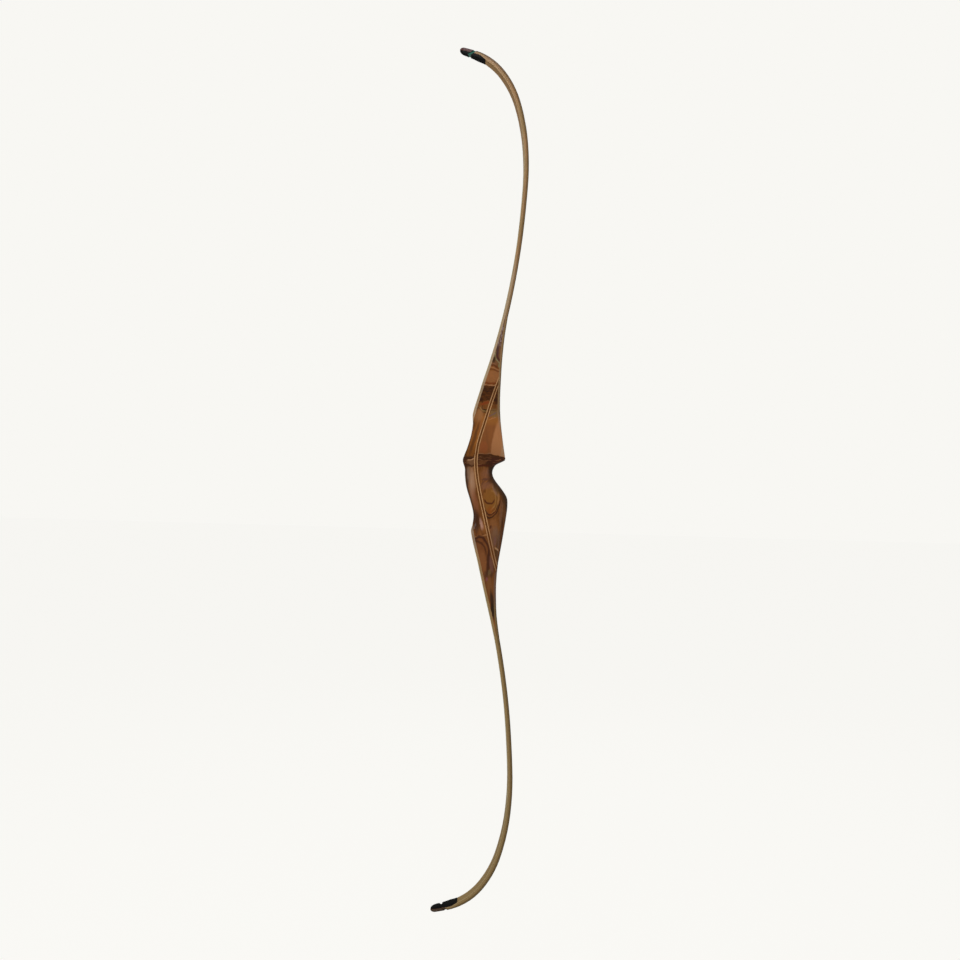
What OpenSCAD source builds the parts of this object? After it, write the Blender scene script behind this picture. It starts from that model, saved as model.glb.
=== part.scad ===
// Laminated recurve bow, unstrung, for a right-handed archer.
// +Z runs up the bow, +X points at the archer (the belly side) and -Y is the archer's left.
// The origin is the middle of the bow, level with the hand and on the line of the grip's throat.
// A glued blank of layers is shaped: every layer lies between two lines of one side view,
// and all layers end sideways on the same shaped surface, so they meet face to face.

/* [Lengths] */
// Length of the riser from fade tip to fade tip
riser_l = 552; // [500:4:620]
// Length of the upper limb along its back, from the fade tip to the nose
upper_limb_l = 518; // [440:1:600]
// Length of the lower limb along its back, from the fade tip to the nose
lower_limb_l = 529; // [440:1:600]
// How late the upper limb curls, against its length
upper_curl = 1.01; // [0.96:0.001:1.04]
// How late the lower limb curls, against its length
lower_curl = 0.993; // [0.96:0.001:1.04]

/* [Limb layers] */
// Thickness of the clear glass layer on the back
back_glass_t = 1.1; // [0.8:0.1:1.6]
// Thickness of the pale core behind the back glass, at the fade
back_core_t = 3.4; // [2.6:0.1:4.2]
// Thickness of the dark core in front of the belly glass, at the fade
belly_core_t = 2.9; // [2.2:0.1:3.6]
// Thickness of the glass layer on the belly
belly_glass_t = 1.1; // [0.8:0.1:1.6]
// Part of each core that is left at the nose
core_taper = 0.95; // [0.8:0.01:1]
// Chamfer along the limb's four edges
edge_r = 0.8; // [0.4:0.1:1]

/* [Limb widths] */
// Width at the fade tip
fade_w = 38; // [34:1:44]
// Width where the limb is straight
mid_w = 36; // [30:1:42]
// Width where the limb starts to curl
curl_w = 30; // [24:1:36]
// Width just before the tip
neck_w = 20; // [17:0.5:24]
// Width across the string nocks
nock_w = 14; // [12:0.5:16]

/* [Tips] */
// Length of the black overlay on the back of each tip
overlay_l = 50; // [42:1:60]
// Thickness of the overlay
overlay_t = 4.3; // [3:0.1:4.6]
// Depth to which the overlay and its liner are let into the back
overlay_let_in = 3.4; // [2.2:0.1:3.6]
// Thickness of the dark liner below the overlay
liner_t = 0.6; // [0.4:0.1:1.2]
// Distance from the nose to the string groove
nock_back = 19; // [17.5:0.5:22]
// Radius of the string groove
groove_r = 2.3; // [2:0.1:2.6]
// Depth of the string groove
groove_d = 2.1; // [1.7:0.1:2.3]
// Lean of the string groove toward the grip on the belly side
groove_lean = 40; // [30:1:45]
// Thickness of the thread laid in the upper groove
band_t = 0.9; // [0.5:0.1:1.2]

/* [Riser] */
// Depth of the riser at the grip's throat
throat_depth = 47; // [42:1:54]
// Height of the throat above the bow's middle
throat_z = 6; // [2:1:9]
// How far the beak over the hand stands out from the throat
beak_out = 21.6; // [16:0.2:26]
// How far the heel of the grip stands out from the throat
heel_out = 27.7; // [22:0.1:32]
// Height of the heel below the bow's middle
heel_z = 46; // [42:1:52]
// How far the back of the riser stands out at the shelf, from the throat's back
ridge_out = 4.3; // [2:0.1:7]
// Half the riser's width at the throat
throat_half = 14.5; // [13:0.5:17]
// Half the riser's width at the palm swell
palm_half = 18.5; // [17:0.5:21]
// Half the riser's width at the shelf
shelf_half = 22; // [21:0.5:24]

/* [Sight window] */
// Height of the arrow shelf
shelf_z = 36.5; // [35:0.5:38]
// Drop of the shelf at its two ends
shelf_drop = 6; // [4:0.5:7]
// How far the window is cut past the middle of the bow
window_past = 3; // [1:0.5:5]
// Height at which the window starts to run out
window_top = 126; // [112:1:136]
// Length over which the window runs out
window_run = 42; // [34:1:50]

/* [Accent stripe] */
// Thickness of each pale veneer
pale_veneer_t = 1.5; // [1:0.1:2.2]
// Thickness of the brown veneer between them
brown_veneer_t = 3; // [2:0.1:4]

/* [Hidden] */

// Thinnest edge to which a layer is ground
feather_t = 0.3;
// Lean of the blank where the riser's layers are cut level
blank_lean = 12.2;
level = 1 / cos(blank_lean);
back_stack = (back_glass_t + back_core_t) * level;
belly_stack = (belly_core_t + belly_glass_t) * level;
fade_z = riser_l / 2;
fade_x = 10.6;

// Where the layers on the back are ground away, above and below the grip
back_end_up = 91;
back_end_low = 80;
back_grind = 17;
// Where the layers on the belly are ground away, above and below the grip
belly_end_up = 96;
belly_end_low = 148;
belly_grind = 24;

// Limb's lean toward the archer at shares of its length: straight, then curling to the target
limb_bend = [[0, blank_lean], [0.05, 11], [0.165, 8.6], [0.29, 5.4], [0.435, 3.1], [0.58, -6],
    [0.72, -18], [0.83, -39], [0.925, -68], [1, -82]];
mid_at = 0.38;
curl_at = 0.72;
neck_at = 0.93;
nose_l = 9;
// Length over which the overlay is ground to its end, and the part of it where the end is blunt
overlay_ramp = 14;
overlay_start = 0.15;
// Length of the nose's round end in side view on its back and its belly, and the depth of its
// foremost point as a share of the tip's depth, with how far the round starts outside the tip
nose_rounds = [18, 11];
nose_at = 0.6;
nose_spare = 0.04;
// Angle by which the string groove deepens toward the belly
groove_deepens = 8;

// Side view of the riser's back and belly, from the lower fade to the upper
throat_back = -throat_depth;
back_line = [[-fade_z, fade_x], [-240, 1.8], [-200, -8.4], [-150, -20.6], [-97, -33.7],
    [-84, -31.6], [-70, -30.3], [-58, -32.2], [-40, -37.6], [-20, -44], [0, throat_back],
    [12, throat_back - 0.5], [26, throat_back - ridge_out], [50, -43.9], [72, -38], [90, -35.9],
    [108, -36.2], [150, -24.2], [200, -8.9], [240, 2], [fade_z, fade_x]];
belly_line = [[-fade_z, fade_x + back_stack + belly_stack + feather_t], [-240, 14.1],
    [-205, 12], [-180, 11.8], [-150, 14], [-120, 18.7], [-90, 23.2], [-60, 27.1],
    [-heel_z, heel_out], [-heel_z + 10, heel_out - 1.6], [-24, 18.4], [-12, 8.8], [-4, 3],
    [throat_z, 0], [throat_z + 8, 2.3], [throat_z + 14, 6.6], [throat_z + 18.5, 15.5],
    [throat_z + 21.5, beak_out - 0.6], [throat_z + 26, beak_out - 0.1], [60, 17.2], [85, 13.6],
    [110, 11.1], [140, 10.1], [180, 10.8], [205, 12], [240, 14.9],
    [fade_z, fade_x + back_stack + belly_stack + feather_t]];

// Half the width, and the rounding of the edges, along the riser
half_line = [[-fade_z, fade_w / 2], [-150, 20], [-104, 20.5], [-80, 17.3], [-heel_z, palm_half],
    [-20, 16.6], [throat_z - 4, throat_half], [throat_z + 6, throat_half + 0.8],
    [shelf_z - 11, shelf_half - 2.8], [shelf_z - 2, shelf_half], [shelf_z + 2, shelf_half],
    [70, shelf_half], [150, 20.5], [fade_z, fade_w / 2]];
back_round = [[-fade_z, edge_r], [-130, edge_r], [-96, 3], [-70, 8], [0, 10], [20, 8],
    [40, 6], [80, 5], [108, 2], [140, edge_r], [fade_z, edge_r]];
belly_round = [[-fade_z, edge_r], [-185, edge_r], [-150, 2.5], [-110, 8], [-60, 12], [0, 12],
    [16, 9], [30, 6], [80, 6], [110, 3], [140, edge_r], [fade_z, edge_r]];
window_round = 3;
window_blend = 5.5;

// Middle of the accent stripe: it bows toward the back behind the shelf and leaves over the belly
stripe_line = [[-fade_z, 46], [-172, 16.4], [-150, 9], [-105, -2.5], [-70, -11.1], [-44, -17.5],
    [-15, -23.9], [5, -27.2], [24, -28.8], [40, -27.8], [58, -25.2], [82, -18.4], [106, -11.6],
    [134, -3.3], [156, 4.2], [176, 11.5], [fade_z, 48]];
stripe_half = pale_veneer_t + brown_veneer_t / 2;
stripe_cuts = [-stripe_half, -brown_veneer_t / 2, brown_veneer_t / 2, stripe_half];

// Flat middle of the arrow shelf, with a run down to each end
shelf_flat = [-24, -10];
shelf_runs = [24, 44];
cut_w = 90;

// A smooth curve through rows of [position, value], level beyond both ends
function row_at(p, rows, i = 0) = i >= len(rows) - 2 || p < rows[i + 1][0] ? i : row_at(p, rows, i + 1);
function slope_at(rows, i) =
    let (a = max(i - 1, 0), b = min(i + 1, len(rows) - 1))
    (rows[b][1] - rows[a][1]) / (rows[b][0] - rows[a][0]);
function curve(p, rows) =
    p <= rows[0][0] ? rows[0][1] : p >= rows[len(rows) - 1][0] ? rows[len(rows) - 1][1] :
    let (i = row_at(p, rows), w = rows[i + 1][0] - rows[i][0], t = (p - rows[i][0]) / w)
    rows[i][1] * (2 * t * t * t - 3 * t * t + 1) + rows[i + 1][1] * (3 * t * t - 2 * t * t * t)
    + w * slope_at(rows, i) * (t * t * t - 2 * t * t + t)
    + w * slope_at(rows, i + 1) * (t * t * t - t * t);
function share(p, from, to) = min(max((p - from) / (to - from), 0), 1);
function eased(t) = t * t * (3 - 2 * t);
function mixed(a, b, t) = a + (b - a) * t;
function total(v) = [for (e = v) 1] * v;
function sorted(v) = len(v) <= 1 ? v :
    let (m = v[floor(len(v) / 2)])
    concat(sorted([for (e = v) if (e < m) e]), [m], sorted([for (e = v) if (e > m) e]));

// How much of the back and belly layers is left at a height on the riser
function back_left(z) = back_stack * share(abs(z), z > 0 ? back_end_up : back_end_low,
    (z > 0 ? back_end_up : back_end_low) + back_grind);
function belly_left(z) = belly_stack * share(abs(z), z > 0 ? belly_end_up : belly_end_low,
    (z > 0 ? belly_end_up : belly_end_low) + belly_grind);
function back_bed(z) = curve(z, back_line) + back_left(z);
function belly_bed(z) = curve(z, belly_line) - belly_left(z);

// Lines that bound the layers on the riser, from the back to the belly
function riser_lines(z) =
    let (x0 = curve(z, back_line), bed = back_bed(z), ramp = belly_bed(z), x9 = curve(z, belly_line),
        core = min(back_left(z), back_core_t * level),
        front = min(belly_left(z), belly_core_t * level))
    concat([x0, bed - core, bed],
        [for (c = stripe_cuts) min(max(curve(z, stripe_line) + c, bed), ramp)],
        [ramp, ramp + front, x9]);
// Share of the sight window's depth at a height: none on the shelf, all of it beside the arrow
function window_share(z) = z < (shelf_z + window_top) / 2 ?
    share(z, shelf_z + 1, shelf_z + 1 + window_blend) :
    1 - eased(share(z, window_top, window_top + window_run));
function left_half(z) = mixed(curve(z, half_line), -window_past, window_share(z));

// A station across the bow: a point on the back, the way to the belly, the lines between the
// layers along it, half the width on each side, and the rounding of the four edges
function riser_station(z) =
    let (x = riser_lines(z), w = window_share(z), r = [curve(z, back_round), curve(z, belly_round)])
    [[x[0], z], [1, 0], [for (e = x) e - x[0]], [left_half(z), curve(z, half_line)],
        [mixed(r[0], min(r[0], window_round), w), mixed(r[1], min(r[1], window_round), w)], r];
function limb_l(up) = up ? upper_limb_l : lower_limb_l;
function limb_lean(s, up) = lookup(s / limb_l(up) / (up ? upper_curl : lower_curl), limb_bend);
function limb_point(s, up, n = 80) = [fade_x, fade_z] + s / n *
    total([for (i = [0.5 : n]) let (a = limb_lean(s * i / n, up)) [sin(a), cos(a)]]);
function limb_half(s, up) =
    let (l = limb_l(up), e = share(s, l - nose_l, l + 1),
        w = curve(s / l, [[0, fade_w], [mid_at, mid_w], [curl_at, curl_w], [neck_at, neck_w],
            [1 - nock_back / l, nock_w], [1 - nose_l / l, nock_w - 1]]))
    w / 2 * sqrt(1 - e * e);
// Overlay and liner are let into the back of the tip, where the cores are thinner
function overlay_share(s, up) = share(s - limb_l(up) + overlay_l, 0, overlay_ramp);
function tip_lines(s, up) =
    overlay_share(s, up) * [for (d = [overlay_t + liner_t, liner_t, 0]) overlay_let_in - d];
function limb_lines(s, up) =
    let (a = tip_lines(s, up)[2], g = a + back_glass_t, core_t = back_core_t + belly_core_t,
        k = mixed(1, core_taper, s / limb_l(up)) - a / core_t,
        b = g + back_core_t * k, f = g + core_t * k)
    [a, g, b, b, b, b, b, b, f, f + belly_glass_t];
function limb_station(s, up) =
    let (a = limb_lean(s, up), h = limb_half(s, up), r = [edge_r, edge_r])
    [limb_point(s, up), [cos(a), -sin(a)], limb_lines(s, up), [h, h], r, r];
function lowered(st) = [[st[0][0], -st[0][1]], [st[1][0], -st[1][1]], st[2], st[3], st[4], st[5]];

// Heights at which a layer reaches its feather edge
function meets(cut, lift, low, high, n = 26) =
    let (m = (low + high) / 2)
    n == 0 ? m : curve(m, stripe_line) + cut + lift < belly_bed(m) ?
        meets(cut, lift, m, high, n - 1) : meets(cut, lift, low, m, n - 1);
stripe_run = [[0.36, 0.72], [-0.43, -0.72]] * fade_z;
stripe_ends = [for (c = stripe_cuts, lift = [0, feather_t], end = stripe_run)
    meets(c, lift, end[0], end[1])];
function grind_ends(sign, end, grind, core, stack) =
    [for (left = [feather_t, core, core + feather_t, stack]) sign * (end + grind * left / stack)];
grind_cuts = concat(
    grind_ends(1, back_end_up, back_grind, back_core_t * level, back_stack),
    grind_ends(-1, back_end_low, back_grind, back_core_t * level, back_stack),
    grind_ends(1, belly_end_up, belly_grind, belly_core_t * level, belly_stack),
    grind_ends(-1, belly_end_low, belly_grind, belly_core_t * level, belly_stack));
fade_step = 13;
grip_step = 5;
beak_step = 2.5;
grip_zone = [-110, 50];
beak_zone = [throat_z + 4, shelf_z + 9];
plain_cuts = concat(
    [for (z = [-fade_z : fade_step : grip_zone[0] - 1]) z],
    [for (z = [grip_zone[0] : grip_step : beak_zone[0] - 1]) z],
    [for (z = [beak_zone[0] : beak_step : beak_zone[1]]) z],
    [for (z = [fade_z : -fade_step : grip_zone[1]]) z],
    [shelf_z + 1, shelf_z + 1 + window_blend]);
riser_stations = [for (z = sorted(concat(plain_cuts, stripe_ends, grind_cuts))) riser_station(z)];

limb_step = 15;
curl_step = 9;
tip_step = 5;
nose_step = 1.5;
curl_from = 0.66;
function limb_cuts(l) = sorted(concat([2],
    [for (s = [limb_step : limb_step : curl_from * l]) s],
    [for (s = [l - overlay_l - curl_step : -curl_step : curl_from * l + 5]) s],
    [for (s = [l - nose_l - tip_step : -tip_step : l - overlay_l + overlay_ramp + 1]) s],
    [for (s = overlay_ramp * [0, overlay_start, 0.5, 1]) l - overlay_l + s],
    [for (s = [l - nose_l : nose_step : l]) s]));
function limb_stations(up) = [for (s = limb_cuts(limb_l(up))) limb_station(s, up)];
layers_from = 60;
upper_stations = concat([for (st = riser_stations) if (st[0][1] > layers_from) st],
    limb_stations(true));
lower_limb = limb_stations(false);
lower_stations = concat([for (i = [len(lower_limb) - 1 : -1 : 0]) lowered(lower_limb[i])],
    [for (st = riser_stations) if (st[0][1] < -layers_from) st]);

// Side of the shaped bow at a distance in from the back: the edges are rounded, the rest is flat
function inset(d, r) = d >= r ? 0 : r - sqrt(r * r - (r - d) * (r - d));
function side(st, d, hand) =
    let (r = st[4 + hand], depth = st[2][len(st[2]) - 1])
    st[3][hand] - inset(max(d, 0), r[0]) - inset(max(depth - d, 0), r[1]);
function ring(st, a, b, n) =
    let (even = 1 - share(b - a, 1, 8),
        ds = [for (i = [0 : n]) mixed(a, b, mixed((1 - cos(180 * i / n)) / 2, i / n, even))],
        at = function (d, y) [st[0][0] + st[1][0] * d, y, st[0][1] + st[1][1] * d])
    concat([for (d = ds) at(d, -side(st, d, 0))], [for (i = [n : -1 : 0]) at(ds[i], side(st, ds[i], 1))]);

// One layer of the blank as a solid: rings of 2 n + 2 points, one at each station that it reaches
module lofted(rings) {
    m = len(rings[0]);
    last = (len(rings) - 1) * m;
    walls = [for (i = [0 : len(rings) - 2], j = [0 : m - 1])
        let (a = i * m + j, b = i * m + (j + 1) % m) each [[a, b, b + m], [a, b + m, a + m]]];
    ends = [for (j = [0 : m / 2 - 2]) each [[m - 1 - j, m - 2 - j, j + 1, j],
        [last + j, last + j + 1, last + m - 2 - j, last + m - 1 - j]]];
    polyhedron([for (r = rings) each r], concat(walls, ends));
}
module layer(k, n, stations) {
    lofted([for (st = stations) if (st[2][k + 1] - st[2][k] > 0.98 * feather_t)
        ring(st, st[2][k], st[2][k + 1], n)]);
}

// Room for the arrow: everything beside the window above the crowned shelf
module shelf_cut() {
    steps = [0 : 0.1 : 1];
    back_run = [for (t = steps)
        [shelf_flat[0] - shelf_runs[0] * (1 - t), shelf_z - shelf_drop * (1 - eased(t))]];
    belly_run = [for (t = steps)
        [shelf_flat[1] + shelf_runs[1] * t, shelf_z - shelf_drop * eased(t)]];
    top = shelf_z + 1 + window_blend;
    low = shelf_z - shelf_drop;
    translate([0, window_past, 0]) rotate([90, 0, 0]) linear_extrude(cut_w)
        polygon(concat([[-cut_w, top], [-cut_w, low]], back_run, belly_run, [[cut_w, low], [cut_w, top]]));
}
module riser_layer(k, n) {
    difference() {
        layer(k, n, riser_stations);
        shelf_cut();
    }
}

// Places its children on the back of an upper tip, +Z at the nose and +X at the belly
module on_tip(s, up) {
    p = limb_point(s, up);
    translate([p[0], 0, p[1]]) rotate([0, limb_lean(s, up), 0]) children();
}
// String groove: a round-bottomed slot down each side and one over the back, set outward by out
groove_reach = 60;
groove_open = 12;
groove_facet = 7.5;
module groove_slot(hand) {
    bottom = [for (a = [0 : groove_facet : 180]) groove_r * [cos(a), -hand * sin(a)]];
    linear_extrude(groove_reach, center = true)
        polygon(concat(bottom, hand * groove_open * [[0, 1], [0, 1]] + groove_r * [[-1, 0], [1, 0]]));
}
module string_groove(up, out = 0) {
    s = limb_l(up) - nock_back;
    bed = groove_d - groove_r - out;
    on_tip(s, up) {
        for (hand = [-1, 1]) translate([0, hand * (limb_half(s, up) - bed), 0])
            rotate([0, 0, -hand * groove_deepens]) rotate([0, 90 + groove_lean, 0]) groove_slot(hand);
        translate([tip_lines(s, up)[0] + bed, 0, 0]) rotate([90, 0, 0]) rotate([0, 0, 90]) groove_slot(1);
    }
}
// Everything outside the rounded end of the nose
module nose_cut(up) {
    l = limb_l(up);
    low = tip_lines(l, up)[0];
    high = limb_lines(l, up)[9];
    far = 2 * groove_reach;
    reach = [nose_at + nose_spare, 1 + nose_spare - nose_at];
    arc = [for (a = [-90 : 7.5 : 90]) let (k = a < 0 ? 0 : 1)
        [mixed(low, high, nose_at + reach[k] * sin(a)), nose_rounds[k] * (cos(a) - 1)]];
    on_tip(l, up) rotate([90, 0, 0]) linear_extrude(groove_reach, center = true)
        polygon(concat(arc, [[far, -nose_rounds[1]], [far, far], [-far, far], [-far, -nose_rounds[0]]]));
}
module nocked(up) {
    difference() {
        children();
        mirror([0, 0, up ? 0 : 1]) {
            string_groove(up);
            nose_cut(up);
        }
    }
}
module limb_layer(k, up) {
    nocked(up) layer(k, 1, up ? upper_stations : lower_stations);
}
module tip_piece(k, up) {
    nocked(up) mirror([0, 0, up ? 0 : 1])
        lofted([for (s = limb_cuts(limb_l(up))) if (overlay_share(s, up) > 0)
            let (d = tip_lines(s, up)) ring(limb_station(s, up), d[k], d[k + 1], 1)]);
}

module riser_back_block() { color("#8a5a36") riser_layer(2, 8); }
module stripe_back_veneer() { color("#b08a62") riser_layer(3, 1); }
module stripe_core_veneer() { color("#5a361b") riser_layer(4, 1); }
module stripe_belly_veneer() { color("#b08a62") riser_layer(5, 1); }
module riser_belly_block() { color("#7a4a2a") riser_layer(6, 10); }
module upper_back_glass() { color("#b5a68c") limb_layer(0, true); }
module upper_back_core() { color("#a1845f") limb_layer(1, true); }
module upper_belly_core() { color("#4e3622") limb_layer(7, true); }
module upper_belly_glass() { color("#7d6248") limb_layer(8, true); }
module lower_back_glass() { color("#b5a68c") limb_layer(0, false); }
module lower_back_core() { color("#a1845f") limb_layer(1, false); }
module lower_belly_core() { color("#4e3622") limb_layer(7, false); }
module lower_belly_glass() { color("#7d6248") limb_layer(8, false); }
module upper_tip_liner() { color("#4a2c1c") tip_piece(1, true); }
module upper_tip_overlay() { color("#1f2125") tip_piece(0, true); }
module lower_tip_liner() { color("#4a2c1c") tip_piece(1, false); }
module lower_tip_overlay() { color("#1f2125") tip_piece(0, false); }
module upper_nock_thread() {
    s = upper_limb_l - nock_back;
    low = tip_lines(s, true)[0];
    high = limb_lines(s, true)[9];
    half = limb_half(s, true);
    color("#1f6b58") difference() {
        intersection() {
            string_groove(true);
            on_tip(s, true) translate([low, -half, -nock_back / 2])
                cube([high - low, 2 * half, nock_back]);
        }
        string_groove(true, band_t);
    }
}

riser_back_block();
stripe_back_veneer();
stripe_core_veneer();
stripe_belly_veneer();
riser_belly_block();
upper_back_glass();
upper_back_core();
upper_belly_core();
upper_belly_glass();
lower_back_glass();
lower_back_core();
lower_belly_core();
lower_belly_glass();
upper_tip_liner();
upper_tip_overlay();
lower_tip_liner();
lower_tip_overlay();
upper_nock_thread();
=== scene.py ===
"""Looks of an unstrung laminated recurve bow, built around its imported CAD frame.

Every solid comes from the frame. This script gives each one a procedural material, and adds the
camera, the lamps and a pale floor."""
import math

import bpy
import numpy as np
from mathutils import Matrix, Vector

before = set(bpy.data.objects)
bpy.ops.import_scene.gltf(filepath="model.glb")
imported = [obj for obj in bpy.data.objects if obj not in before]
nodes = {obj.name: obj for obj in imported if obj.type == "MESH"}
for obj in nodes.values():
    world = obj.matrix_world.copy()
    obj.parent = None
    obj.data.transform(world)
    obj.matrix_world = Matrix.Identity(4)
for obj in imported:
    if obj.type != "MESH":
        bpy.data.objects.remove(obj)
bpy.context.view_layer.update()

MM = 1000.0


def linear(code):
    """A colour written as #rrggbb, as the linear values that a shader takes."""
    values = [int(code[i:i + 2], 16) / 255 for i in (1, 3, 5)]
    return [v / 12.92 if v <= 0.04045 else ((v + 0.055) / 1.055) ** 2.4 for v in values] + [1.0]


# Camera
FOCAL_PIXELS = 1032.4
PICTURE = 960
SENSOR = 36.0
PITCH = math.radians(1.26)
ROLL = math.radians(1.58)
EYE = Vector((-0.0208, -1.786, -0.0467))

forward = Vector((0, math.cos(PITCH), math.sin(PITCH)))
level_up = Vector((0, -math.sin(PITCH), math.cos(PITCH)))
level_right = Vector((1, 0, 0))
right = level_right * math.cos(ROLL) + level_up * math.sin(ROLL)
up = level_up * math.cos(ROLL) - level_right * math.sin(ROLL)
camera_data = bpy.data.cameras.new("camera")
camera_data.sensor_width = SENSOR
camera_data.lens = FOCAL_PIXELS / PICTURE * SENSOR
camera_data.clip_start, camera_data.clip_end = 0.05, 100
camera = bpy.data.objects.new("camera", camera_data)
bpy.context.scene.collection.objects.link(camera)
turn = Matrix((right, up, -forward)).transposed().to_4x4()
camera.matrix_world = Matrix.Translation(EYE) @ turn
bpy.context.scene.camera = camera
bpy.context.scene.view_settings.view_transform = "Standard"


# Grain that follows the limbs

# The back of the bow from the upper window to the fade tip, as (x, z) in mm
FADE_BACK = [(-43.9, 50), (-38, 72), (-35.9, 90), (-36.2, 108), (-24.2, 150), (-8.9, 200),
             (2, 240), (10.6, 276)]
# How a limb leans beyond it: the share of its length, and degrees toward the archer
LIMB_BEND = [(0, 12.2), (0.05, 11), (0.165, 8.6), (0.29, 5.4), (0.435, 3.1), (0.58, -6),
             (0.72, -18), (0.83, -39), (0.925, -68), (1, -82)]
# Length of the upper limb and of the lower one in mm, and how late each curls
LIMBS = {True: (518, 1.01), False: (529, 0.993)}
# Spacing of the route's points, and how far it goes on past the nose, in mm
ROUTE_STEP = 4.0
PAST_NOSE = 20


def back_route(is_upper):
    """Points along the back of one half of the bow, from the grip's end to past the nose."""
    length, late = LIMBS[is_upper]
    at = np.arange(0, length + PAST_NOSE, ROUTE_STEP)
    lean = np.radians(np.interp((at + ROUTE_STEP / 2) / length / late, *zip(*LIMB_BEND)))
    way = np.column_stack((np.sin(lean), np.cos(lean))) * ROUTE_STEP
    limb = np.array(FADE_BACK[-1]) + np.cumsum(way, axis=0)
    route = np.vstack((np.array(FADE_BACK, float), limb))
    return route if is_upper else route * (1, -1)


def along_limb(obj):
    """Gives a limb layer's points their depth from the back, their width and their way along it."""
    mesh = obj.data
    points = np.empty(len(mesh.vertices) * 3)
    mesh.vertices.foreach_get("co", points)
    points = points.reshape(-1, 3) * MM
    route = back_route(points[:, 2].mean() > 0)
    start, way = route[:-1], np.diff(route, axis=0)
    size = np.hypot(*way.T)
    way = way / size[:, None]
    run = np.concatenate(([0], np.cumsum(size)))[:-1] + abs(route[0, 1])
    off = points[:, None, [0, 2]] - start[None]
    t = np.clip((off * way).sum(axis=2), 0, size)
    gap = np.hypot(*np.moveaxis(off - t[..., None] * way, 2, 0))
    best = gap.argmin(axis=1)
    rows = np.arange(len(points))
    side = way[best, 1] * off[rows, best, 0] - way[best, 0] * off[rows, best, 1]
    sign = np.sign(route[-1, 1])
    found = np.column_stack((side * sign, points[:, 1], sign * (run[best] + t[rows, best])))
    layer = mesh.attributes.new("along", "FLOAT_VECTOR", "POINT")
    layer.data.foreach_set("vector", found.astype(np.float32).ravel())


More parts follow.
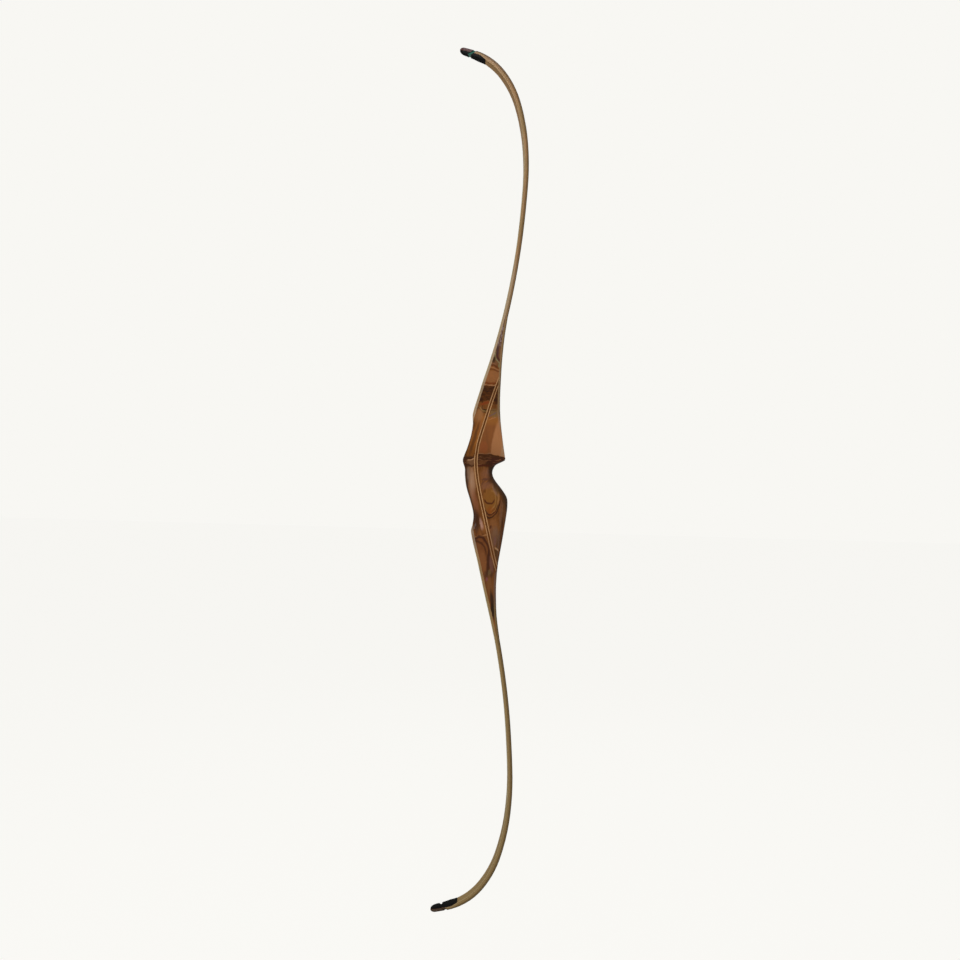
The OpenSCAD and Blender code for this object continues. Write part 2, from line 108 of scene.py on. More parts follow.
# Node graphs
class Graph:
    """Builds one material's nodes, in mm. Numbers, sockets and vectors go into the same calls."""

    def __init__(self, name, along=False):
        self.material = bpy.data.materials.new(name)
        self.material.use_nodes = True
        self.tree = self.material.node_tree
        self.tree.nodes.clear()
        coords = self.tree.nodes.new("ShaderNodeTexCoord")
        self.place = self.vector("MULTIPLY", coords.outputs["Object"], (MM, MM, MM))
        geometry = self.tree.nodes.new("ShaderNodeNewGeometry")
        self.normal = geometry.outputs["Normal"]
        self.x, _, self.z = self.split(self.place)
        self.grained = self.place
        if along:
            reader = self.tree.nodes.new("ShaderNodeAttribute")
            reader.attribute_name = "along"
            self.grained = reader.outputs["Vector"]

    def put(self, socket, value):
        """Links a socket's value to it, or sets a constant one."""
        if isinstance(value, bpy.types.NodeSocket):
            self.tree.links.new(value, socket)
        else:
            socket.default_value = value

    def vector(self, operation, a, b):
        n = self.tree.nodes.new("ShaderNodeVectorMath")
        n.operation = operation
        self.put(n.inputs[0], a)
        self.put(n.inputs[1], b)
        return n.outputs["Value" if operation == "DOT_PRODUCT" else "Vector"]

    def split(self, v):
        """The x, y and z of a vector."""
        n = self.tree.nodes.new("ShaderNodeSeparateXYZ")
        self.put(n.inputs[0], v)
        return n.outputs

    def math(self, operation, a, b=None, c=None, clamp=False):
        n = self.tree.nodes.new("ShaderNodeMath")
        n.operation = operation
        n.use_clamp = clamp
        for socket, value in zip(n.inputs, (a, b, c)):
            if value is not None:
                self.put(socket, value)
        return n.outputs[0]

    def both(self, a, b):
        """Product of two values, such as a share and a mask."""
        return self.math("MULTIPLY", a, b)

    def fall(self, v, start, end, low=0.0, high=1.0):
        """Smooth step of v: low at start and before, high at end and beyond."""
        n = self.tree.nodes.new("ShaderNodeMapRange")
        n.interpolation_type = "SMOOTHSTEP"
        for key, value in (("Value", v), ("From Min", start), ("From Max", end),
                           ("To Min", low), ("To Max", high)):
            self.put(n.inputs[key], value)
        return n.outputs[0]

    def band(self, v, rise, drop):
        """1 between two smooth steps of v, each given as its start and end."""
        return self.both(self.fall(v, *rise), self.fall(v, *drop))

    def noise(self, v, size, detail=2.0, rough=0.5, colour=False):
        """Noise from 0 to 1 whose grain has a size along each axis of v."""
        box = self.tree.nodes.new("ShaderNodeMapping")
        box.vector_type = "TEXTURE"
        self.put(box.inputs["Vector"], v)
        box.inputs["Scale"].default_value = size
        n = self.tree.nodes.new("ShaderNodeTexNoise")
        self.put(n.inputs["Vector"], box.outputs[0])
        n.inputs["Scale"].default_value = 1.0
        n.inputs["Detail"].default_value = detail
        n.inputs["Roughness"].default_value = rough
        return n.outputs["Color" if colour else "Fac"]

    def shaken(self, v, size, reach):
        """v moved to and fro by noise of a size, up to half of reach each way."""
        half = (0.5, 0.5, 0.5)
        shift = self.vector("SUBTRACT", self.noise(v, size, colour=True), half)
        return self.vector("ADD", v, self.vector("MULTIPLY", shift, reach))

    def cells(self, v):
        """Distance to the nearest of scattered points."""
        n = self.tree.nodes.new("ShaderNodeTexVoronoi")
        self.put(n.inputs["Vector"], v)
        n.inputs["Scale"].default_value = 1.0
        return n.outputs["Distance"]

    def radius(self, v, middle, reach, turned=0):
        """Distance from a spot on the bow's side, 1 at the rim of its ellipse.

        Plain dot products, because with a Mapping node for each spot the riser rendered black."""
        c, s = math.cos(math.radians(turned)), math.sin(math.radians(turned))
        parts = []
        for (way_x, way_z), size in (((c, -s), reach[0]), ((s, c), reach[1])):
            along = self.vector("DOT_PRODUCT", v, (way_x / size, 0, way_z / size))
            start = (middle[0] * way_x + middle[1] * way_z) / size
            parts.append(self.math("SUBTRACT", along, start))
        across = self.both(parts[0], parts[0])
        return self.math("SQRT", self.math("MULTIPLY_ADD", parts[1], parts[1], across))

    def mix(self, share, a, b):
        """A colour from a to b by share. Each may be a socket or #rrggbb."""
        n = self.tree.nodes.new("ShaderNodeMix")
        n.data_type = "RGBA"
        for key, value in ((0, share), (6, a), (7, b)):
            if isinstance(value, str):
                value = linear(value)
            self.put(n.inputs[key], value)
        return n.outputs[2]

    def bump(self, height, depth, strength):
        """Relief: depth in metres is what a height of 1 stands out."""
        n = self.tree.nodes.new("ShaderNodeBump")
        n.inputs["Strength"].default_value = strength
        n.inputs["Distance"].default_value = depth
        self.put(n.inputs["Height"], height)
        return n.outputs[0]

    def finish(self, colour, rough, normal, **fixed):
        """The shader: colour, roughness and normal, and constant values by socket name."""
        shader = self.tree.nodes.new("ShaderNodeBsdfPrincipled")
        self.put(shader.inputs["Base Color"], colour)
        self.put(shader.inputs["Roughness"], rough)
        self.put(shader.inputs["Normal"], normal)
        for key, value in fixed.items():
            shader.inputs[key.replace("_", " ")].default_value = value
        out = self.tree.nodes.new("ShaderNodeOutputMaterial")
        self.tree.links.new(shader.outputs[0], out.inputs["Surface"])
        return self.material


# Finishes. Under a coat the base has no gloss of its own, which would glare at grazing angles
COAT = {"Coat_Weight": 0.16, "Coat_Roughness": 0.12, "Specular_IOR_Level": 0.0}
GLASS_COAT = {"Coat_Weight": 0.06, "Coat_Roughness": 0.24, "Specular_IOR_Level": 0.0}
FIBRE_COAT = {"Coat_Weight": 0.03, "Coat_Roughness": 0.2, "Specular_IOR_Level": 0.0}
WAX = {"Sheen_Weight": 0.15, "Specular_IOR_Level": 0.1}


def grain(g, v, across, along):
    """Fine streaks along the bow and short dark pores, both from 0 to 1."""
    streaks = g.noise(v, (across, across, along), 3.0, 0.6)
    pores = g.noise(v, (across * 0.4, across * 0.4, along * 0.25), 1.0)
    return streaks, g.fall(pores, 0.66, 0.76)


# Riser wood
class Figure(Graph):
    """A wood whose colour is built up: spots, arcs and lines lie over it one after another.

    Places on the bow's side are (x, z) in mm, and angles are in degrees. near is a point moved a
    little by noise, eye the distance from the palm swell's eye, 1 at its rim, and brow a height
    that is the same all along the shelf's curved edge."""

    def __init__(self, name):
        super().__init__(name)
        self.near = self.shaken(self.place, (7, 7, 16), (4, 4, 7))
        self.near_z = self.split(self.near)[2]
        self.eye = self.radius(self.near, (-0.5, -42), (12.5, 25), 6)
        drop = self.math("MAXIMUM", self.math("SUBTRACT", self.both(self.x, 0.2), -1.0), 0.0)
        self.brow = self.math("ADD", self.near_z, drop)
        self.colour = None

    def cover(self, share, code, mask=None):
        """Lays a colour over the wood so far, by a share from 0 to 1 and inside the mask."""
        if mask is not None:
            share = self.both(share, mask)
        self.colour = self.mix(share, self.colour, code)

    def spot(self, middle, reach, code, strength, turned=0, edge=0.35, mask=None):
        """An ellipse with a soft edge. turned leans its top toward the archer."""
        r = self.radius(self.near, middle, reach, turned)
        self.cover(self.both(self.fall(r, 1 + edge, 1 - edge), strength), code, mask)

    def arc(self, r, at, width, code, strength, mask=None):
        """A soft line where r is near a value, with its half width in r's own unit."""
        off = self.math("ABSOLUTE", self.math("SUBTRACT", r, at))
        self.cover(self.both(self.fall(off, width, width * 0.3), strength), code, mask)

    def level_line(self, height, width, code, strength, slant=0.0, mask=None):
        """A line across the bow. slant is its rise for each mm toward the archer."""
        tilted = self.math("SUBTRACT", self.near_z, self.both(self.x, slant))
        self.arc(tilted, height, width, code, strength, mask)


def growth_lines(w):
    """Levels of a slowly tilting distance, drawn round the eye near the palm swell.

    They give the wood its first colour. Returns its streaks and its pores."""
    v = w.shaken(w.place, (34, 34, 80), (16, 16, 40))
    x, y, _ = w.split(v)
    rings = w.math("ADD", w.both(x, 0.105), w.both(y, 0.06))
    rings = w.math("ADD", rings, w.both(w.noise(w.place, (40, 40, 120), 1.0, 0.4), 3.6))
    by_eye = w.fall(w.eye, 2.1, 1.2)
    level = w.math("ADD", w.both(rings, w.math("SUBTRACT", 1.0, by_eye)),
                   w.both(w.both(w.eye, 2.4), by_eye))
    vein = w.fall(w.math("COSINE", w.both(level, 2 * math.pi)), 0.45, 0.98)
    patches = w.fall(w.noise(w.place, (30, 30, 70)), 0.42, 0.62)
    streaks, pores = grain(w, v, 0.9, 26)
    tone = w.fall(w.noise(v, (16, 16, 80)), 0.35, 0.65)
    w.colour = w.mix(tone, "#542e0c", "#6e411a")
    w.cover(w.both(w.fall(streaks, 0.35, 0.75), 0.35), "#815128")
    w.cover(w.both(vein, w.math("ADD", 0.16, w.both(patches, 0.45))), "#2e1506")
    return streaks, pores


def back_of_riser(w):
    """Golden beside the stripe, with a painted sheen over the hand's place and painted shade toward
    the edge.
    """
    w.spot((-34, 52), (9, 22), "#6f3f0e", 0.7, 18)
    w.spot((-26, 78), (7, 26), "#8c5420", 0.6, 14)
    # Painted sheen: a lighter patch on the back of the grip.
    w.spot((-34, -12), (4.5, 25), "#8e6c52", 0.75, -4, 0.6)
    w.spot((-28, -44), (4, 20), "#74452e", 0.6, -14, 0.6)
    w.spot((-32, 66), (2.6, 34), "#46270f", 0.75, 15, 0.5)
    # Painted shade: this strip and the next darken the rounded back edge.
    w.spot((-42, 60), (2.6, 40), "#3d2c14", 0.7, 11, 0.5)
    w.spot((-44, -4), (2.6, 32), "#2a1a10", 0.8, -6, 0.5)
    w.spot((-40.5, 2), (2.5, 14), "#6e5644", 0.7, -4, 0.5)
    # Painted shade along the rounded back edge.
    w.spot((-35, -50), (2.6, 26), "#2d1a10", 0.8, -16, 0.5)
    w.spot((-26, -78), (7, 18), "#2c1408", 0.8, -8, 0.5)
    # Painted sheen: a pinkish highlight near the grip's lower end.
    w.spot((-16.5, -83), (2.6, 9), "#9a7361", 0.8, -12, 0.6)


def palm_eye(w):
    """Golden inside, with a blob and dark arcs in and below it, and lighter wood above."""
    w.spot((-1, -40), (12.5, 24), "#6e4519", 0.85, 6)
    w.spot((0, -60), (7, 7), "#70380c", 0.7, 0, 0.5)
    w.spot((-11.8, -26.4), (1.6, 3.6), "#4f2b06", 0.85)
    w.arc(w.radius(w.near, (-4, -36), (9, 12.5)), 1.0, 0.17, "#3a1606", 0.85, w.fall(w.z, -38, -44))
    aside = w.fall(w.x, -3, 3)
    w.arc(w.eye, 0.62, 0.07, "#85633a", 0.45, aside)
    w.arc(w.eye, 0.78, 0.06, "#4d3012", 0.5, aside)
    w.arc(w.eye, 0.88, 0.05, "#7f5f35", 0.45, aside)
    w.arc(w.eye, 1.0, 0.09, "#35180a", 0.9, w.fall(w.z, -46, -56))
    w.arc(w.eye, 1.2, 0.11, "#2a1205", 0.9, w.fall(w.z, -36, -52))
    w.arc(w.eye, 1.0, 0.1, "#8c6038", 0.6, w.both(w.fall(w.z, -52, -44), w.fall(w.x, 4, 9)))
    above = w.fall(w.z, -26, -14)
    w.arc(w.radius(w.near, (-4, -24), (12, 13)), 1.0, 0.12, "#4a2f1e", 0.6, above)
    w.arc(w.radius(w.near, (-4, -24), (15, 19)), 1.0, 0.12, "#46271a", 0.6, above)
    w.spot((-10, 3), (9, 9), "#69412a", 0.7, 0, 0.5)
    w.spot((-12, -6), (6, 2), "#4a2c20", 0.75, -8, 0.5)
    w.spot((-9, -17), (9, 6), "#6f4630", 0.6, -20, 0.5)
    w.spot((5, -24), (2.2, 10), "#7a5844", 0.6, -28, 0.5)


def belly_edge(w):
    """Dark from the throat over the heel, partly dark wood and partly painted shade where the belly
    edge rounds away, and the brown below the eye.
    """
    # These four dark spots are partly dark wood and partly painted shade along the rounded belly
    # edge.
    w.spot((24, -36), (7, 44), "#2a1b0d", 0.85, -17, 0.5)
    w.spot((0.2, 4), (6.6, 15), "#2c1a0c", 0.85, -4, 0.5)
    w.spot((-0.8, 14), (5.8, 12), "#28180c", 0.85, 6, 0.5)
    w.spot((7, -18), (4.5, 16), "#33200f", 0.75, -30, 0.5)
    w.spot((19, -70), (4.5, 26), "#563519", 0.75, 6)
    w.spot((5, -84), (7, 9), "#6b4223", 0.7)
    w.spot((6, -106), (7, 18), "#5e4432", 0.75, 8)
    w.spot((-0.5, -87), (1.8, 3), "#371504", 0.8)
    w.spot((1.5, -94), (2, 8), "#5c3a24", 0.6, 0, 0.5)
    w.arc(w.radius(w.near, (-20, -96), (40, 90)), 1.0, 0.06, "#3a1a08", 0.75,
          w.both(w.fall(w.z, -64, -80), w.fall(w.x, 4, 10)))


def shelf_block(w):
    """Dark under the shelf's curved edge, partly dark wood and partly painted shade, with lighter
    lines and a painted highlight on a ridge toward the back.
    """
    left = w.both(w.fall(w.x, -31, -34), w.fall(w.z, 30, 35))
    top = w.math("SUBTRACT", w.fall(w.brow, 38.6, 36.8), left, clamp=True)
    ledge = w.both(top, w.fall(w.near_z, 12.8, 17))
    # The ledge's darkness is partly dark wood and partly painted shade under the shelf's edge.
    w.cover(w.both(ledge, 0.9), "#2f1402")
    w.spot((6, 24), (12, 7), "#36150b", 0.8, 12, 0.5)
    lines = w.fall(w.noise(w.near, (16, 22, 1.6)), 0.57, 0.66)
    w.cover(w.both(w.both(ledge, lines), 0.55), "#7a4f30")
    w.spot((-36, 23), (8, 4.5), "#64432a", 0.85, 0, 0.4)
    w.spot((-18, 23), (6, 4), "#5a3418", 0.7, 0, 0.5)
    w.level_line(17.2, 1.6, "#3f1402", 0.9, 0, w.band(w.x, (-27, -24), (-4, -8)))
    w.level_line(38.5, 1.5, "#8f6647", 0.5, 0, w.band(w.x, (-26, -22), (2, -4)))
    # Painted highlight: a light line along the ridge toward the back.
    w.level_line(34, 1.5, "#9a7252", 0.85, 0.19, w.band(w.x, (-45, -41), (-27, -29)))


def window_face(w):
    """Plain, pinkish toward the archer from a painted sheen, with a painted highlight along the
    belly edge, and darker beside the stripe.
    """
    window = w.both(w.fall(w.brow, 38, 40), w.fall(w.z, 112, 98))
    w.cover(w.both(w.both(window, w.fall(w.x, -28, -22)), 0.7), "#744422")
    w.spot((-16, 49), (7, 10), "#79401f", 0.7, 8, mask=window)
    golden = w.both(w.fall(w.z, 84, 96), w.fall(w.x, -24, -19))
    w.cover(w.both(golden, w.both(window, 0.5)), "#85531f")
    # Painted sheen: a lighter pinkish patch on the flat window face.
    sheen_patch = w.radius(w.near, (11, 42), (14, 60), 4)
    w.cover(w.both(w.fall(sheen_patch, 1.15, 0.9), w.both(window, 0.9)), "#90603b")
    # Painted highlight: a grey strip along the rounded belly edge.
    w.spot((20, 60), (4, 50), "#8a7257", 0.55, 6, mask=window)


def dark_band(w):
    """A dark band across the upper fade, partly dark wood and partly painted shade on the shoulder
    that faces down, orange-red lines at its ends, and hooks below it.
    """
    height = w.math("ADD", w.near_z, w.both(w.x, -0.05))
    lower_end = w.fall(height, w.fall(w.x, -8, -2, 129, 121), w.fall(w.x, -8, -2, 132, 127))
    mottled = w.fall(w.noise(w.near, (10, 10, 3), 2.0, 0.6), 0.3, 0.7)
    # The band is partly dark wood and partly painted shade on the downward-facing shoulder above
    # the window.
    w.cover(w.both(w.both(lower_end, w.fall(height, 156.6, 153.6)), 0.95),
            w.mix(mottled, "#260f03", "#4c2706"))
    w.level_line(155.9, 1.3, "#9c6c48", 0.7)
    w.level_line(159.6, 1.8, "#5f2606", 0.9)
    w.spot((-16.5, 126), (8, 2.6), "#6d300f", 0.9, -8)
    bowl = w.radius(w.near, (-16, 121), (10, 8), 20)
    below = w.both(w.fall(w.z, 121, 117), w.fall(w.x, -11, -14))
    w.arc(bowl, 0.96, 0.2, "#86683a", 0.7, below)
    for at in (0.72, 1.18):
        w.arc(bowl, at, 0.2, "#231503", 0.95, below)
    w.spot((-25, 106), (6, 12), "#8a5d37", 0.6, 14, 0.5)
    w.spot((1, 109), (8, 7), "#69502f", 0.7, 20)
    w.spot((11, 98), (3, 22), "#7b6450", 0.6, -10, 0.5)
    inner = w.band(w.x, (-10, -7), (6, 2))
    w.level_line(113.5, 1.2, "#4a2f18", 0.6, 0.1, inner)
    w.level_line(108.2, 1.6, "#51414a", 0.6, 0.59, inner)
    w.level_line(101.1, 1.4, "#93623f", 0.6, 0.36, inner)


def upper_fade(w):
    """Plain above the band, then swirls, a green-grey hook, and grey mottling with light flecks of
    painted glint.
    """
    w.cover(w.both(w.band(w.z, (158, 163), (182, 178)), 0.6), "#805230")
    w.cover(w.both(w.fall(w.z, 186, 194), 0.7), "#5f4129")
    w.spot((-1, 214), (3, 14), "#5e4b2b", 0.8, 14)
    hook = w.radius(w.near, (14.5, 208), (11.6, 11.6))
    w.arc(hook, 1.35, 0.13, "#6e694b", 0.85, w.band(w.z, (214, 209), (188, 191)))
    w.arc(hook, 1.0, 0.26, "#381a14", 0.9, w.band(w.z, (214, 209), (194, 198)))
    w.spot((3.2, 216), (2.4, 9), "#3a2220", 0.9, 4)
    w.spot((-2.6, 198.8), (2.6, 6.5), "#33200c", 0.9, 14)
    w.spot((7.4, 190), (1.7, 4), "#5f6546", 0.8)
    w.level_line(190.6, 1.4, "#7d5036", 0.6, -0.42, w.fall(w.x, 3, -1))
    w.level_line(187.2, 1.7, "#4a200b", 0.85, -0.42, w.fall(w.x, 6, 3))
    w.level_line(183.4, 1.5, "#8c5f3e", 0.65, -0.33)
    w.level_line(180.4, 1.4, "#4c2409", 0.75, -0.3)
    w.cover(w.both(w.fall(w.z, 214, 228), 0.6), "#45302a")
    # Painted glints: light grey flecks over the grey mottling.
    glint_flecks = w.fall(w.noise(w.near, (2.2, 2.2, 5), 2.0, 0.6), 0.47, 0.6)
    w.cover(w.both(w.both(glint_flecks, w.fall(w.z, 218, 230)), 0.75), "#7b6c6b")


def lower_fade(w):
    """Two dark swirls below a light line, a dark column, a brown lens and a dark wedge."""
    w.cover(w.both(w.band(w.z, (-96, -108), (-226, -206)), 0.35), "#4a2b14")
    w.spot((-14, -140), (12, 42), "#5f3419", 0.7, -10)
    w.spot((-21, -105.5), (7, 2.2), "#3a1f0c", 0.75, -14)
    w.level_line(-101.2, 1.7, "#8a5f3a", 0.6, 0.17, w.band(w.x, (-28, -26), (-5, -8)))
    w.arc(w.radius(w.near, (-18, -134), (15.4, 28.8)), 1.0, 0.13, "#36180a", 0.9,
          w.fall(w.z, -152, -128))
    w.arc(w.radius(w.near, (-24, -140), (18, 27.5)), 0.99, 0.1, "#3c1d09", 0.85,
          w.fall(w.z, -142, -126))
    w.spot((-11.5, -147), (5.5, 18), "#6c4122", 0.75, -10)
    w.spot((-2, -169), (7, 7), "#402716", 0.7)
    w.spot((-2.6, -148), (3.2, 23), "#361a0b", 0.9, 2)
    w.spot((2.4, -152), (3, 14), "#58382f", 0.75, -10)
    w.spot((-0.5, -165), (3, 5), "#594429", 0.7)
    w.spot((0.6, -189), (4, 18), "#643e1f", 0.8, -6)
    w.spot((-4.4, -176), (2, 3.6), "#6b3a3d", 0.65)
    w.spot((6.5, -221), (3.6, 25), "#2a180c", 0.9, -8)
    w.spot((7.4, -229), (3, 11), "#241708", 0.9, -8)
    w.spot((7.5, -112), (2.6, 7), "#5b3c36", 0.55)
    w.spot((10, -135), (4, 10), "#43280f", 0.8, -8)
    w.spot((14.5, -110), (3, 22), "#452d1c", 0.7, 8)
    w.spot((10.8, -125.3), (4.4, 1.4), "#8d6a4a", 0.75, 52)


def riser_wood(name):
    """Figured hardwood: growth lines, an eye in the palm swell, a dark band in the upper fade, with
    painted sheen, glints and shade in places.
    """
    w = Figure(name)
    streaks, pores = growth_lines(w)
    for zone in (back_of_riser, palm_eye, belly_edge, shelf_block, window_face, dark_band,
                 upper_fade, lower_fade):
        zone(w)
    w.cover(w.both(pores, 0.35), "#1f0f05")
    normal = w.bump(w.math("SUBTRACT", streaks, w.both(pores, 1.5)), 0.00006, 0.35)
    return w.finish(w.colour, w.fall(streaks, 0.2, 0.8, 0.3, 0.42), normal, **COAT)


# Limbs, veneers and tips

# Where each string groove crosses the back, the way across it toward the nose, the side of the
# bow's middle that it lies on, and the colour of the wood there
GROOVES = (((-58.5, 733.3), (-0.55, 0.835), 1, "#43282c"),
           ((-67.4, -737.4), (-0.596, -0.803), -1, "#3a2e25"))


def past_groove(g, groove):
    """Distance past a string groove toward its nose."""
    (x, z), (way_x, way_z) = groove[:2]
    return g.vector("DOT_PRODUCT", g.vector("SUBTRACT", g.place, (x, 0, z)), (way_x, 0, way_z))


def nose_stain(g, colour):
    """The wood round both string grooves and beyond them is stained dark."""
    for groove in GROOVES:
        share = g.both(g.fall(past_groove(g, groove), -4.5, -1), g.fall(g.z, 0, groove[2]))
        colour = g.mix(g.both(share, 0.93), colour, groove[3])
    return colour


def ground_shade(g, colour):
    """Below the grip the ground-off layers turn grey-brown, their greyness partly a painted glint,
    then purplish to the limb.
    """
    start = g.band(g.z, (-78, -92), (-136, -116))
    # The grey-brown here is partly a painted glint on the lower ridge.
    colour = g.mix(g.both(start, 0.6), colour, "#75665a")
    belly = g.band(g.z, (-140, -156), (-236, -200))
    return g.mix(g.both(g.both(belly, g.fall(g.x, 2, 5)), 0.65), colour, "#553a33")


def core_wood(name, light, dark, olive, grey):
    """Laminated limb wood seen from its edge: streaks along the limb.

    It is olive down the lower limb and grey beside the window."""
    g = Graph(name, along=True)
    v = g.shaken(g.grained, (25, 25, 60), (1.5, 3, 9))
    streaks, pores = grain(g, v, 0.45, 26)
    patches = g.fall(g.noise(g.grained, (6, 9, 38), 3.0, 0.55), 0.35, 0.65)
    colour = g.mix(g.fall(streaks, 0.28, 0.72), dark, light)
    colour = g.mix(g.both(patches, 0.45), colour, dark)
    clouds = g.fall(g.noise(g.grained, (40, 60, 52), 1.0), 0.4, 0.62)
    colour = g.mix(g.fall(g.z, -60, -300, g.both(clouds, 0.55), 0.75), colour, olive)
    beside = g.both(g.fall(g.z, 70, 130), g.fall(g.z, 400, 330, 0, 0.5))
    colour = ground_shade(g, g.mix(beside, colour, grey))
    colour = nose_stain(g, g.mix(g.both(pores, 0.35), colour, "#33220f"))
    normal = g.bump(g.math("SUBTRACT", streaks, pores), 0.00005, 0.3)
    return g.finish(colour, g.fall(streaks, 0.2, 0.8, 0.34, 0.46), normal, **COAT)


# The share of a curl's height at which the glass's edge begins to change colour
CURL_START = 0.88


def clear_glass(name, face_light, face_dark, edge, low, curls=()):
    """Glass layer: its face shows the wood below, more olive at the lower curl.

    Its edge is a thin line. curls gives the height of each curl and the edge's colour there."""
    g = Graph(name, along=True)
    v = g.shaken(g.grained, (20, 20, 90), (0, 5, 14))
    streaks, pores = grain(g, v, 1.0, 60)
    bands = g.fall(g.noise(v, (60, 5, 260), 3.0), 0.34, 0.66)
    wood = g.mix(bands, face_dark, face_light)
    wood = g.mix(g.both(g.fall(streaks, 0.35, 0.75), 0.4), wood, face_light)
    wood = g.mix(g.both(pores, 0.45), wood, "#33200f")
    wood = g.mix(g.fall(g.z, -250, -600, 0, 0.5), wood, low)
    fibres = g.noise(g.grained, (0.35, 0.35, 60), 1.0)
    rim = g.mix(g.fall(fibres, 0.35, 0.65), *edge)
    for height, code in curls:
        rim = g.mix(g.fall(g.z, height * CURL_START, height, 0, 0.85), rim, code)
    sideways = g.fall(g.math("ABSOLUTE", g.split(g.normal)[1]), 0.45, 0.9)
    colour = nose_stain(g, g.mix(sideways, wood, ground_shade(g, rim)))
    return g.finish(colour, 0.42, g.bump(fibres, 0.00002, 0.08), **GLASS_COAT)


def veneer(name, light, dark, low=None):
    """Straight-grained veneer; low is its colour toward the lower fade."""
    g = Graph(name)
    streaks, pores = grain(g, g.place, 0.35, 22)
    colour = g.mix(g.fall(streaks, 0.3, 0.7), dark, light)
    if low:
        colour = g.mix(g.fall(g.z, -84, -116, 0, 0.6), colour, low)
    colour = g.mix(g.both(pores, 0.3), colour, "#3a2211")
    return g.finish(colour, 0.38, g.bump(streaks, 0.00005, 0.3), **COAT)


def black_fibre(name):
    """Black overlay: pressed fibre with faint layers and specks, rubbed here and there."""
    g = Graph(name)
    layers = g.noise(g.place, (3, 0.25, 3), 2.0, 0.6)
    specks = g.cells(g.vector("MULTIPLY", g.place, (2.2, 2.2, 2.2)))
    colour = g.mix(g.fall(layers, 0.35, 0.7), "#0e0e0e", "#171716")
    colour = g.mix(g.fall(specks, 0.12, 0.04), colour, "#232325")
    worn = g.noise(g.place, (6, 6, 6), 3.0, 0.6)
    return g.finish(colour, g.fall(worn, 0.3, 0.7, 0.3, 0.48), g.bump(layers, 0.00004, 0.4),
                    **FIBRE_COAT)


def thread(name, turn_width=0.62):
    """Green waxed thread wound side by side in the groove, with painted shade between its turns and
    along its sides where it lies deep, and a painted highlight along its middle.
    """
    g = Graph(name)
    across = past_groove(g, GROOVES[0])
    turns = g.math("COSINE", g.both(across, 2 * math.pi / turn_width))
    twist = g.noise(g.place, (0.5, 0.5, 0.5), 2.0, 0.6)
    colour = g.mix(g.fall(twist, 0.35, 0.65), "#0c4638", "#20604e")
    # Painted shade in the crevices between the turns.
    colour = g.mix(g.both(g.fall(turns, -0.4, -1), 0.6), colour, "#062018")
    middle = g.math("ABSOLUTE", g.math("SUBTRACT", across, 0.3))
    # Painted highlight along the thread's middle.
    colour = g.mix(g.both(g.fall(middle, 0.9, 0.3), 0.4), colour, "#4f7f6d")
    # Painted shade along the thread's sides, deep in the groove.
    colour = g.mix(g.both(g.fall(middle, 1.0, 1.6), 0.85), colour, "#04150f")
    height = g.math("ADD", g.both(turns, 0.5), twist)
    return g.finish(colour, 0.6, g.bump(height, 0.00015, 0.6), **WAX)


wood = riser_wood("riser_wood")
pale = veneer("pale_veneer", "#a98259", "#8b643f", "#6e4f38")
brown = veneer("brown_veneer", "#5a310c", "#42230a")
pale_core = core_wood("pale_core", "#94734f", "#7c5f42", "#76633f", "#9c8a74")
dark_core = core_wood("dark_core", "#725738", "#583f25", "#5c4c2e", "#7c6347")
back_glass = clear_glass("back_glass", "#9c7c55", "#836441", ("#918769", "#7b7254"), "#7c6f48",
                         ((640, "#94785a"), (-640, "#867453")))
belly_glass = clear_glass("belly_glass", "#77563a", "#5a3d24", ("#4e3f2c", "#3a2d1d"), "#4f4026")
# By node, or by what follows upper_ or lower_ in its name
LOOKS = {
    "riser_back_block": wood, "riser_belly_block": wood,
    "stripe_back_veneer": pale, "stripe_core_veneer": brown, "stripe_belly_veneer": pale,
    "back_glass": back_glass, "back_core": pale_core,
    "belly_core": dark_core, "belly_glass": belly_glass,
    "tip_liner": veneer("tip_liner", "#4d2a1c", "#341a12"),
    "tip_overlay": black_fibre("tip_overlay"),
    "nock_thread": thread("nock_thread"),
}
LIMB_LAYERS = (pale_core, dark_core, back_glass, belly_glass)
# The distance at which points are welded, in metres, and the angle past which an edge is sharp
WELD = 2e-6
SHARP = math.radians(32)


def smooth(obj):
    """Rounds the shading of a CAD node's small facets and keeps its sharp edges."""
    mesh = obj.data
    for key in ("custom_normal", "sharp_edge", "sharp_face"):
        if key in mesh.attributes:
            mesh.attributes.remove(mesh.attributes[key])
    mesh.polygons.foreach_set("use_smooth", [True] * len(mesh.polygons))
    obj.modifiers.new("weld", "WELD").merge_threshold = WELD
    obj.modifiers.new("split", "EDGE_SPLIT").split_angle = SHARP


for name, obj in nodes.items():
    look = LOOKS[name if name in LOOKS else name.split("_", 1)[1]]
    obj.data.materials.clear()
    obj.data.materials.append(look)
    if look in LIMB_LAYERS:
        along_limb(obj)
    smooth(obj)

# Studio
BACKGROUND = linear("#f8f7f3")
WHITE = (1, 1, 1, 1)
CHALK = (0.8, 0.8, 0.79, 1)
WORLD_LIGHT = 0.3
FLOOR_Z = -0.9
FLOOR_SIZE = 60
# How bright the floor glows for the camera, and the share in which it shows the object's shadow
FLOOR_GLOW = 1.035
FLOOR_SHADE = 0.06
# Place, target and size of each lamp in metres, and its power in watts
LAMPS = {
    "key": ((-0.7, -2.1, 1.2), (0, 0, 0.05), 1.6, 49),
    "side": ((-2.4, -1, 0), (0, 0, 0), 2, 13),
    "fill": ((1.2, -2.1, -0.3), (0, 0, -0.1), 1.4, 9),
    "back": ((0.4, 1.9, 1.3), (0, 0, 0), 1.4, 18),
}


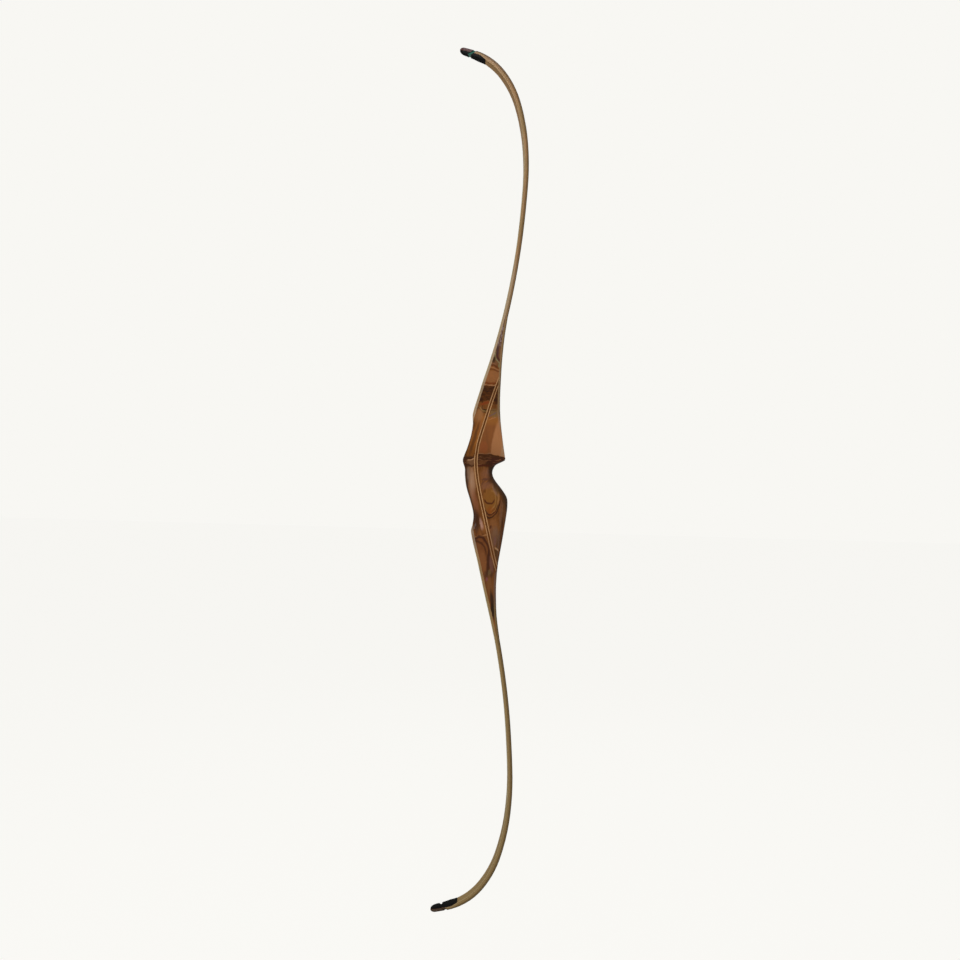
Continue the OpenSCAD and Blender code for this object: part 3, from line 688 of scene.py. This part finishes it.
def add(tree, kind, **values):
    """A new node in a tree, with the values of its input sockets."""
    n = tree.nodes.new("ShaderNode" + kind)
    for key, value in values.items():
        n.inputs[key].default_value = value
    return n


def plain_view(tree, shown, other, output):
    """Mixes two shaders: shown is what the camera, mirrors and clear things see, other lights."""
    path = add(tree, "LightPath")
    seen = path.outputs["Is Camera Ray"]
    for ray in ("Is Glossy Ray", "Is Transmission Ray"):
        either = add(tree, "Math")
        either.operation = "MAXIMUM"
        tree.links.new(seen, either.inputs[0])
        tree.links.new(path.outputs[ray], either.inputs[1])
        seen = either.outputs[0]
    mixer = add(tree, "MixShader")
    tree.links.new(seen, mixer.inputs[0])
    tree.links.new(other.outputs[0], mixer.inputs[1])
    tree.links.new(shown.outputs[0], mixer.inputs[2])
    tree.links.new(mixer.outputs[0], add(tree, output).inputs["Surface"])


world = bpy.data.worlds.new("studio")
bpy.context.scene.world = world
world.use_nodes = True
tree = world.node_tree
tree.nodes.clear()
plain_view(tree, add(tree, "Background", Color=BACKGROUND),
           add(tree, "Background", Color=WHITE, Strength=WORLD_LIGHT), "OutputWorld")

bpy.ops.mesh.primitive_plane_add(size=FLOOR_SIZE, location=(0, 0, FLOOR_Z))
floor = bpy.context.object
floor.name = "floor"
paint = bpy.data.materials.new("floor")
paint.use_nodes = True
tree = paint.node_tree
tree.nodes.clear()
glow = add(tree, "Emission", Color=BACKGROUND, Strength=FLOOR_GLOW)
chalk = add(tree, "BsdfDiffuse", Color=CHALK)
shaded = add(tree, "MixShader", Fac=FLOOR_SHADE)
tree.links.new(glow.outputs[0], shaded.inputs[1])
tree.links.new(chalk.outputs[0], shaded.inputs[2])
plain_view(tree, shaded, chalk, "OutputMaterial")
floor.data.materials.append(paint)

for name, (at, toward, size, power) in LAMPS.items():
    data = bpy.data.lights.new(name, "AREA")
    data.shape = "DISK"
    data.size = size
    data.energy = power
    lamp = bpy.data.objects.new(name, data)
    bpy.context.scene.collection.objects.link(lamp)
    lamp.location = at
    lamp.rotation_mode = "QUATERNION"
    lamp.rotation_quaternion = (Vector(toward) - Vector(at)).to_track_quat("-Z", "Y")
